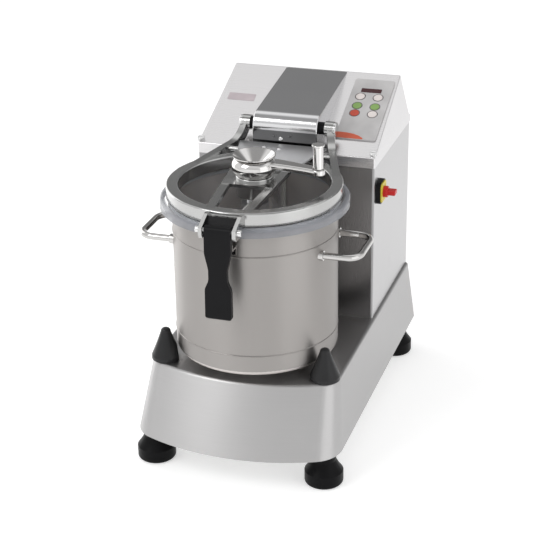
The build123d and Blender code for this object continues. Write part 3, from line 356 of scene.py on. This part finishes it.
class Recipe(Grain):
    """A finish under construction."""

    def __init__(self, name, colour, roughness, metallic=0.0):
        self.material = bpy.data.materials.new(name)
        self.material.use_nodes = True
        super().__init__(self.material.node_tree)
        self.shader = self.tree.nodes["Principled BSDF"]
        self.colour = colour
        self.roughness = roughness
        self.shader.inputs["Base Color"].default_value = (*colour, 1.0)
        self.shader.inputs["Roughness"].default_value = roughness
        self.shader.inputs["Metallic"].default_value = metallic

    def vary_roughness(self, noise, swing):
        swung = self.spread(noise, self.roughness - swing, self.roughness + swing)
        self.link(swung, self.shader.inputs["Roughness"])

    def paint(self, tint):
        self.tint = tint
        self.link(tint, self.shader.inputs["Base Color"])

    def vary_colour(self, noise, dark, light):
        """Multiplies the colour by a shade between dark and light."""
        ramp = self.node("ShaderNodeValToRGB")
        for stop, position, level in zip(ramp.color_ramp.elements, NOISE_SPAN, (dark, light)):
            stop.position = position
            stop.color = (*(level * channel for channel in self.colour), 1.0)
        self.link(noise, ramp.inputs[0])
        self.paint(ramp.outputs["Color"])

    def paint_shade(self, mask, level):
        """Paints shade: multiplies the colour by a level where the mask is one."""
        mix = self.node("ShaderNodeMixRGB", blend_type="MULTIPLY")
        mix.inputs["Color2"].default_value = grey(level)
        self.link(mask, mix.inputs["Fac"])
        self.link(self.tint, mix.inputs["Color1"])
        self.paint(mix.outputs[0])

    def lift(self, noise, height):
        """Raises the surface by a height in metres where the noise is high."""
        bump = self.node("ShaderNodeBump")
        bump.inputs["Distance"].default_value = height
        self.link(noise, bump.inputs["Height"])
        self.link(bump.outputs["Normal"], self.shader.inputs["Normal"])

    def stretch(self, amount):
        """Draws highlights out upright, across a grain that runs level round the piece."""
        self.shader.inputs["Anisotropic"].default_value = amount
        self.shader.inputs["Anisotropic Rotation"].default_value = QUARTER_TURN
        tangent = self.node("ShaderNodeTangent", direction_type="RADIAL", axis="Z")
        self.link(tangent.outputs[0], self.shader.inputs["Tangent"])


print("recipes ready")

# %% [markdown]
# The base, the column and the head are brushed sheet, with long fine scratches that all run one way. Real
# scratches are far too shallow to model one by one. So a noise is drawn out more than a hundred times along
# the grain, and it changes the roughness more than the height. A second, cloudy noise gives the broad soft
# marks of hands and cloths. On the base, whose grain runs level, highlights are also drawn out upright.
# The deck, the front of the column and the front of the hinge cover face darker things than this plain room
# holds, so a painted shade darkens their steel by its place: along which axis, from where to where, and how
# much.

# %% Brushed steel
LONG = 14.0
FINE = 2000.0
ALONG_X = (LONG, FINE, FINE)
ALONG_Y = (FINE, LONG, FINE)
ALONG_Z = (FINE, FINE, LONG)
LEVEL = (LONG, LONG, 1500.0)
SCRATCH_DEPTH = 0.000002
SCRATCH_SHARE = 0.6
MARKS_SCALE = 7.0
STEEL_SWING = 0.03
BRUSHED_SHADES = (0.96, 1.03)
# Painted shade on the deck, the column's front and the cover's front: the axis, where the mask starts and
# ends, and the level the colour falls to.
DECK_SHADE = ("Z", 0.1825, 0.1838, 0.92)
COLUMN_FRONT_SHADE = ("Y", 0.0475, 0.0465, 0.58)
COVER_FRONT_SHADE = ("Z", 0.5475, 0.5455, 0.20)


def brushed_steel(name, colour, roughness, grain, painted_shade=None, stretch=0.0):
    recipe = Recipe(name, colour, roughness, metallic=1.0)
    lines = recipe.noise(recipe.place(grain), detail=4.0)
    marks = recipe.noise(recipe.place(), scale=MARKS_SCALE)
    both = recipe.blend(lines, marks, SCRATCH_SHARE)
    recipe.vary_roughness(both, STEEL_SWING)
    recipe.vary_colour(both, *BRUSHED_SHADES)
    # Painted shade: past the span along the axis, the colour falls to the level.
    if painted_shade:
        axis, start, end, level = painted_shade
        recipe.paint_shade(recipe.rise(recipe.split(recipe.point())[axis], start, end), level)
    recipe.lift(lines, SCRATCH_DEPTH)
    if stretch:
        recipe.stretch(stretch)
    return recipe.material


base_steel = brushed_steel("base_steel", (0.47, 0.465, 0.465), 0.38, LEVEL, painted_shade=DECK_SHADE, stretch=0.7)
column_steel = brushed_steel("column_steel", (0.48, 0.475, 0.48), 0.26, ALONG_Z, painted_shade=COLUMN_FRONT_SHADE)
head_steel = brushed_steel("head_steel", (0.68, 0.67, 0.675), 0.28, ALONG_X)
cover_steel = brushed_steel("cover_steel", (0.66, 0.66, 0.67), 0.13, ALONG_Y, painted_shade=COVER_FRONT_SHADE)
plate_steel = brushed_steel("plate_steel", (0.80, 0.80, 0.81), 0.34, ALONG_Y)
print("brushed steels ready")

# %% [markdown]
# The bowl is turned on a lathe, so its fine lines run round it. Such lines catch the light in a tall streak
# on the wall that faces it. Rings cut into the mesh would need millions of faces. Instead the noise is
# read round the bowl's axis, and the shader stretches each highlight across the lines. The outside gets a
# painted shade that darkens it beside the inside, from a radius just within the wall's outer face.

# %% Turned steel
BOWL_AXIS = (0.0, BOWL_Y)
TURNED_ROUND = 1.5
TURNED_PITCH = 2000.0
TURNED_DEPTH = 0.0000015
TURNED_SHARE = 0.5
TURNED_MARKS_SCALE = 9.0
TURNED_SHADES = (0.97, 1.02)
TURNED_STRETCH = 0.8
# Painted shade on the outside of the bowl: the width of its edge, then its radius and its level.
OUTER_SHADE_EDGE = 0.0004
BOWL_OUTER_SHADE = (0.1468, 0.50)


def turned_steel(name, colour, roughness, outer_shade=None):
    """The last argument gives the radius of the outside and the level of the painted shade that darkens it
    beside the inside.
    """
    recipe = Recipe(name, colour, roughness, metallic=1.0)
    polar = recipe.polar(BOWL_AXIS)
    lines = recipe.noise(recipe.scaled(polar, (TURNED_ROUND, TURNED_PITCH, TURNED_PITCH)), detail=3.0)
    marks = recipe.noise(recipe.place(), scale=TURNED_MARKS_SCALE)
    both = recipe.blend(lines, marks, TURNED_SHARE)
    recipe.vary_roughness(both, STEEL_SWING)
    recipe.vary_colour(both, *TURNED_SHADES)
    # Painted shade: the outside of the bowl is darkened beside the inside.
    if outer_shade:
        radius, level = outer_shade
        recipe.paint_shade(recipe.rise(polar[1], radius - OUTER_SHADE_EDGE, radius), level)
    recipe.lift(lines, TURNED_DEPTH)
    recipe.stretch(TURNED_STRETCH)
    return recipe.material


bowl_steel = turned_steel("bowl_steel", (0.735, 0.70, 0.675), 0.44, outer_shade=BOWL_OUTER_SHADE)
print("bowl steel ready")

# %% [markdown]
# The lid's casting, the crank and the rods are buffed until they mirror. With a low roughness alone they
# would look like glass. Buffing never leaves a perfect surface: a slow wave stays in it, which bends every
# reflection a little. That wave is a large soft noise, used as a very low bump.

# %% Polished steel
WAVE_HEIGHT = 0.00006
WAVE_SCALE = 38.0
BUFFING_SCALE = 420.0
BUFFING_SHARE = 0.4


def polished_steel(name, colour, roughness):
    recipe = Recipe(name, colour, roughness, metallic=1.0)
    wave = recipe.noise(recipe.place(), scale=WAVE_SCALE, detail=1.0)
    buffing = recipe.noise(recipe.place(), scale=BUFFING_SCALE)
    recipe.vary_roughness(buffing, roughness * BUFFING_SHARE)
    recipe.lift(wave, WAVE_HEIGHT)
    return recipe.material


lid_steel = polished_steel("lid_steel", (0.48, 0.48, 0.475), 0.17)
crank_steel = polished_steel("crank_steel", (0.66, 0.65, 0.64), 0.09)
handle_steel = polished_steel("handle_steel", (0.56, 0.55, 0.54), 0.12)
pin_steel = polished_steel("pin_steel", (0.70, 0.70, 0.70), 0.18)
print("polished steels ready")

# %% [markdown]
# The feet, the guides and the latch are rubber or moulded plastic, dark and dull, with the fine even
# texture of the mould. The switch, the pale seal and the wipers are moulded too, and the keypad is a printed
# sheet with coloured keys. One function makes them all, because little changes but the colour, the gloss
# and the depth of the texture. The two blackest have the least gloss, or reflections would turn them grey.

# %% Rubber and plastic
MOULD_GRAIN = 900.0
MOULD_CLOUDS = 22.0
MOULD_DEPTH = 0.00003
MOULD_SHADES = (0.88, 1.08)
SMOOTH_DEPTH = 0.00001


def moulded(name, colour, roughness, grain=MOULD_GRAIN, height=MOULD_DEPTH, swing=0.06, gloss=0.3):
    recipe = Recipe(name, colour, roughness)
    recipe.shader.inputs["Specular IOR Level"].default_value = gloss
    texture = recipe.noise(recipe.place(), scale=grain)
    cloud = recipe.noise(recipe.place(), scale=MOULD_CLOUDS)
    recipe.vary_roughness(texture, swing)
    recipe.vary_colour(cloud, *MOULD_SHADES)
    recipe.lift(texture, height)
    return recipe.material


def smooth(name, colour, roughness, **settings):
    """Printed sheet, and plastic from a smooth mould."""
    return moulded(name, colour, roughness, height=SMOOTH_DEPTH, **settings)


black_rubber = moulded("black_rubber", (0.0045, 0.0045, 0.005), 0.38, gloss=0.10)
guide_rubber = moulded("guide_rubber", (0.016, 0.016, 0.017), 0.36)
black_plastic = smooth("black_plastic", (0.008, 0.008, 0.009), 0.36, grain=1400.0, gloss=0.12)
pale_silicone = moulded("pale_silicone", (0.62, 0.64, 0.67), 0.42)
white_plastic = moulded("white_plastic", (0.78, 0.78, 0.75), 0.40)
membrane_grey = smooth("membrane_grey", (0.50, 0.49, 0.49), 0.45)
display_plastic = moulded("display_plastic", (0.045, 0.004, 0.007), 0.12, height=0.000002, swing=0.02)
key_white = smooth("key_white", (0.74, 0.68, 0.66), 0.42)
key_green = smooth("key_green", (0.22, 0.36, 0.11), 0.42)
key_red = smooth("key_red", (0.50, 0.075, 0.045), 0.42)
print_grey = smooth("print_grey", (0.10, 0.09, 0.09), 0.45)
blank_label = smooth("blank_label", (0.50, 0.44, 0.46), 0.40)
band_orange = smooth("band_orange", (0.62, 0.12, 0.06), 0.40)
switch_yellow = smooth("switch_yellow", (0.74, 0.62, 0.06), 0.40)
switch_red = smooth("switch_red", (0.58, 0.02, 0.02), 0.28)
board_green = moulded("board_green", (0.03, 0.16, 0.06), 0.5)
print("plastics ready")

# %% [markdown]
# The lid is a clear sheet, bent down into a flange at its edge. It could be given the refraction of glass,
# but a thin sheet hardly bends the light, and what lies under it would come out darker and noisier. So the
# sheet is partly see-through instead: nearly all of the light passes the window, and less than half of it
# the flange, which is seen edge on. The share changes with the radius, over the bend.

# %% Clear plastic
WINDOW_RADIUS = 0.157
FLANGE_RADIUS = 0.160
WINDOW_SHARE = 0.07
FLANGE_SHARE = 0.60
CLEAR_IOR = 1.49
HAZE_SCALE = 30.0
HAZE_SHADES = (0.92, 1.04)


def clear_plastic(name, colour, roughness):
    recipe = Recipe(name, colour, roughness)
    recipe.shader.inputs["IOR"].default_value = CLEAR_IOR
    haze = recipe.noise(recipe.place(), scale=HAZE_SCALE)
    recipe.vary_roughness(haze, roughness / 2)
    recipe.vary_colour(haze, *HAZE_SHADES)
    radius = recipe.polar(BOWL_AXIS)[1]
    bend = recipe.rise(radius, WINDOW_RADIUS, FLANGE_RADIUS)
    share = recipe.remap(bend, 0.0, 1.0, WINDOW_SHARE, FLANGE_SHARE)
    recipe.link(share, recipe.shader.inputs["Alpha"])
    return recipe.material


clear_lid_plastic = clear_plastic("clear_lid_plastic", (0.33, 0.34, 0.37), 0.16)
print("clear lid ready")

# %% [markdown]
# The drive under the deck and the motor in the column are seen only by someone who takes the machine
# apart. They are cast, painted, turned and rubber parts. Each has its own plain finish, and a casting gets
# a coarse noise for the sand that it was cast in, which is quicker than modelling a rough surface.

# %% The drive's finishes
SAND_SCALE = 260.0
SAND_HEIGHT = 0.00015
SAND_SWING = 0.1
SAND_SHADES = (0.75, 1.1)
GROUND = (300.0, 300.0, 300.0)


def cast_metal(name, colour, roughness, metallic=1.0):
    recipe = Recipe(name, colour, roughness, metallic)
    sand = recipe.noise(recipe.place(), scale=SAND_SCALE, detail=5.0)
    recipe.vary_roughness(sand, SAND_SWING)
    recipe.vary_colour(sand, *SAND_SHADES)
    recipe.lift(sand, SAND_HEIGHT)
    return recipe.material


cast_iron = cast_metal("cast_iron", (0.24, 0.24, 0.25), 0.5)
motor_paint = cast_metal("motor_paint", (0.10, 0.11, 0.12), 0.42, metallic=0.0)
rotor_steel = turned_steel("rotor_steel", (0.62, 0.62, 0.62), 0.24)
blade_steel = brushed_steel("blade_steel", (0.72, 0.72, 0.73), 0.16, GROUND)
floor_steel = brushed_steel("floor_steel", (0.48, 0.48, 0.47), 0.38, ALONG_Y)
belt_rubber = moulded("belt_rubber", (0.02, 0.02, 0.02), 0.55)
print("drive finishes ready")

# %% [markdown]
# Each piece of the machine is made of one material, so one table says it all: a finish, and the pieces that
# wear it. Dressing them one by one would scatter the choices through the file. A piece keeps its mesh, and
# only its material slots are filled.

# %% Dress the pieces
FINISHES = {
    base_steel: ["base_housing"],
    floor_steel: ["base_floor", "hinge_brackets"],
    bowl_steel: ["bowl_body"],
    handle_steel: ["bowl_handles", "bowl_catch"],
    column_steel: ["column_shell", "column_back"],
    head_steel: ["head_cover"],
    cover_steel: ["lid_arm_cover"],
    lid_steel: ["lid_frame", "latch_bracket"],
    plate_steel: ["lid_plate", "scraper_frame", "scraper_shaft"],
    crank_steel: ["crank_arm", "crank_pin", "crank_grip", "funnel"],
    pin_steel: ["latch_pin", "hinge_shaft", "hinge_caps", "head_screws", "foot_studs"],
    blade_steel: ["blade_lower", "blade_upper"],
    rotor_steel: ["rotor_hub", "rotor_cap", "blade_spacer", "drive_shaft", "motor_shaft", "shaft_bearings"],
    cast_iron: ["bearing_housing", "rotor_pulley", "motor_pulley"],
    motor_paint: ["motor_body"],
    belt_rubber: ["drive_belt"],
    black_rubber: ["feet"],
    guide_rubber: ["bowl_guides"],
    pale_silicone: ["lid_gasket"],
    clear_lid_plastic: ["clear_lid"],
    black_plastic: ["latch_lever", "latch_cover", "switch_base", "cable_gland", "hinge_spacers"],
    white_plastic: ["wall_wiper", "lid_wiper"],
    membrane_grey: ["control_panel"],
    display_plastic: ["display_window"],
    board_green: ["control_board"],
    key_white: ["key_1", "key_2", "key_6"],
    key_green: ["key_3", "key_4"],
    key_red: ["key_5"],
    switch_yellow: ["switch_plate"],
    switch_red: ["switch_knob"],
}


def dress(node, material):
    slots = nodes[node].material_slots
    if not slots:
        nodes[node].data.materials.append(material)
    for slot in slots:
        slot.material = material


for material, members in FINISHES.items():
    for member in members:
        dress(member, material)
undressed = sorted(set(nodes) - {member for members in FINISHES.values() for member in members})
print("nodes without a finish:", undressed)

# %% [markdown]
# The smallest pieces are drawn here as meshes, because nobody needs them as solids. They could come from
# ready-made cylinders and cubes, but loops of points, joined one to the next, follow a real profile. Each
# finished piece is shaded smooth except over sharp edges, gets its finish, and rides on the body that
# holds it, so it moves with it.

# %% Helpers for small meshes
SHARP_ANGLE = math.radians(32)


def turn_angles(steps):
    return [2 * math.pi * step / steps for step in range(steps)]


def bridge(maker, loops):
    """Joins each loop of points to the next with four-sided faces."""
    for low, high in zip(loops, loops[1:]):
        for step in range(len(low)):
            after = (step + 1) % len(low)
            maker.faces.new((low[step], low[after], high[after], high[step]))


def finish_mesh(maker, name, material, body):
    mesh = bpy.data.meshes.new(name)
    maker.to_mesh(mesh)
    maker.free()
    mesh.shade_smooth()
    mesh.set_sharp_from_angle(angle=SHARP_ANGLE)
    mesh.materials.append(material)
    piece = bpy.data.objects.new(name, mesh)
    scene.collection.objects.link(piece)
    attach(piece, body)


print("mesh helpers ready")

# %% [markdown]
# Two small button screws hold the plate under the lid, and one sits in the nose of the hinge cover. A plain
# disc would do from far away. Close up, a screw is known by its socket, so loops of points climb over the
# rounded head and go down into a six-sided hole. The profile is in shares of the head's radius, and one
# function makes both sizes.

# %% Small screws
HEAD_RINGS = ((1.0, 0.0), (1.0, 0.10), (0.95, 0.28), (0.82, 0.45), (0.62, 0.55), (0.47, 0.58))
SOCKET_CORNER = 0.44
SOCKET_HEIGHTS = (0.56, 0.24)
SCREW_STEPS = 36
SIXTH = math.pi / 3
LID_PLATE_TOP = 0.524
PLATE_SCREWS = ((-0.0294, 0.0114), (0.0004, 0.0083))
PLATE_SCREW_RADIUS = 0.0034
NOSE_SCREW = Vector((-0.0069, 0.0430, 0.5316))
NOSE_SCREW_RADIUS = 0.0042


def socket_reach(angle):
    """From the middle of the socket to its wall."""
    return SOCKET_CORNER * math.cos(SIXTH / 2) / math.cos(angle % SIXTH - SIXTH / 2)


def screw(name, place, out, radius, body):
    maker = bmesh.new()
    angles = turn_angles(SCREW_STEPS)
    profile = [([share] * SCREW_STEPS, height) for share, height in HEAD_RINGS]
    profile += [([socket_reach(a) for a in angles], height) for height in SOCKET_HEIGHTS]
    loops = []
    for reaches, height in profile:
        points = [(reach * math.cos(a), reach * math.sin(a), height) for reach, a in zip(reaches, angles)]
        loops.append([maker.verts.new(point) for point in points])
    bridge(maker, loops)
    maker.faces.new(loops[-1])
    maker.faces.new(loops[0][::-1])
    turn = Vector(out).to_track_quat("Z", "Y").to_matrix().to_4x4()
    maker.transform(Matrix.Translation(place) @ turn @ Matrix.Scale(radius, 4))
    finish_mesh(maker, name, pin_steel, body)


for number, (x, y) in enumerate(PLATE_SCREWS):
    screw(f"plate_screw_{number + 1}", Vector((x, y, LID_PLATE_TOP)), (0, 0, 1), PLATE_SCREW_RADIUS, "lid")
screw("nose_screw", NOSE_SCREW, (0, -1, 0), NOSE_SCREW_RADIUS, "root")
print("screws placed on the lid and the cover:", len(PLATE_SCREWS) + 1)

# %% [markdown]
# The keypad lies on the slope of the head, and a thin printed ring runs round each key. The ring could be a
# colour painted by a mask, but as a thin mesh its edge stays crisp at any distance. A point on the slope is
# given by its place across the machine, its distance up the slope and its height over the sheet metal.

# %% The rings round the keys
SLOPE_FOOT = Vector((0, 0.045, 0.509))
SLOPE = math.radians(23.42)
SLOPE_UP = Vector((0, math.cos(SLOPE), math.sin(SLOPE)))
SLOPE_OUT = Vector((0, -math.sin(SLOPE), math.cos(SLOPE)))
KEYPAD_TOP = 0.003
PRINT = 0.00012
KEY_COLUMNS = (0.1055, 0.1400)
KEY_ROWS = (0.1625, 0.1360, 0.1150)
RING_INNER = 0.0089
RING_OUTER = 0.0103
RING_STEPS = 48


def on_slope(x, up, out):
    return SLOPE_FOOT + Vector((x, 0, 0)) + SLOPE_UP * up + SLOPE_OUT * out


def key_ring(name, x, up):
    maker = bmesh.new()
    low, high = KEYPAD_TOP, KEYPAD_TOP + PRINT
    loops = []
    for radius, out in ((RING_OUTER, low), (RING_OUTER, high), (RING_INNER, high), (RING_INNER, low)):
        places = [(x + radius * math.cos(a), up + radius * math.sin(a)) for a in turn_angles(RING_STEPS)]
        loops.append([maker.verts.new(on_slope(*place, out)) for place in places])
    bridge(maker, loops + loops[:1])
    finish_mesh(maker, name, print_grey, "root")


for row, up in enumerate(KEY_ROWS):
    for column, x in enumerate(KEY_COLUMNS):
        key_ring(f"key_ring_{row}_{column}", x, up)
print("rings", len(KEY_ROWS) * len(KEY_COLUMNS))

# %% [markdown]
# The keypad has a plain coloured band in its lower corner, whose top falls away in a long curve, and on the
# left of the head sits a small bare plate with rounded corners. Both are flat pieces cut to an outline. A
# cube with a bevel could be the plate, but one function for any outline makes both.

# %% The corner band and the bare plate
BAND = (
    (0.0850, 0.0446),
    (0.1375, 0.0446),
    (0.1372, 0.0480),
    (0.1290, 0.0535),
    (0.1180, 0.0575),
    (0.1050, 0.0598),
    (0.0850, 0.0605),
)
PLATE_PLACE = (-0.1252, 0.1370)
PLATE_SIZE = (0.0540, 0.0195)
PLATE_CORNER = 0.0015
PLATE_THICKNESS = 0.0005
CORNER_STEPS = 6


def flat_piece(name, outline, low, thickness, material):
    """A thin plate on the slope, its outline given by points across and up."""
    maker = bmesh.new()
    levels = (low, low + thickness)
    foot, top = ([maker.verts.new(on_slope(x, up, out)) for x, up in outline] for out in levels)
    maker.faces.new(foot[::-1])
    maker.faces.new(top)
    bridge(maker, [foot, top])
    finish_mesh(maker, name, material, "root")


def rounded(place, size, corner):
    """The outline of a rectangle with round corners."""
    points = []
    for quarter, sides in enumerate(((1, 1), (-1, 1), (-1, -1), (1, -1))):
        x, up = (middle + side * (length / 2 - corner) for middle, side, length in zip(place, sides, size))
        for step in range(CORNER_STEPS + 1):
            a = math.radians(90 * (quarter + step / CORNER_STEPS))
            points.append((x + corner * math.cos(a), up + corner * math.sin(a)))
    return points


flat_piece("corner_band", BAND, KEYPAD_TOP, PRINT, band_orange)
plate_outline = rounded(PLATE_PLACE, PLATE_SIZE, PLATE_CORNER)
flat_piece("bare_plate", plate_outline, 0.0, PLATE_THICKNESS, blank_label)
print("band and plate in place")

# %% [markdown]
# Last, the script ends. Nothing added here should reach past the solid parts.

# %% The end
print("end of the script")
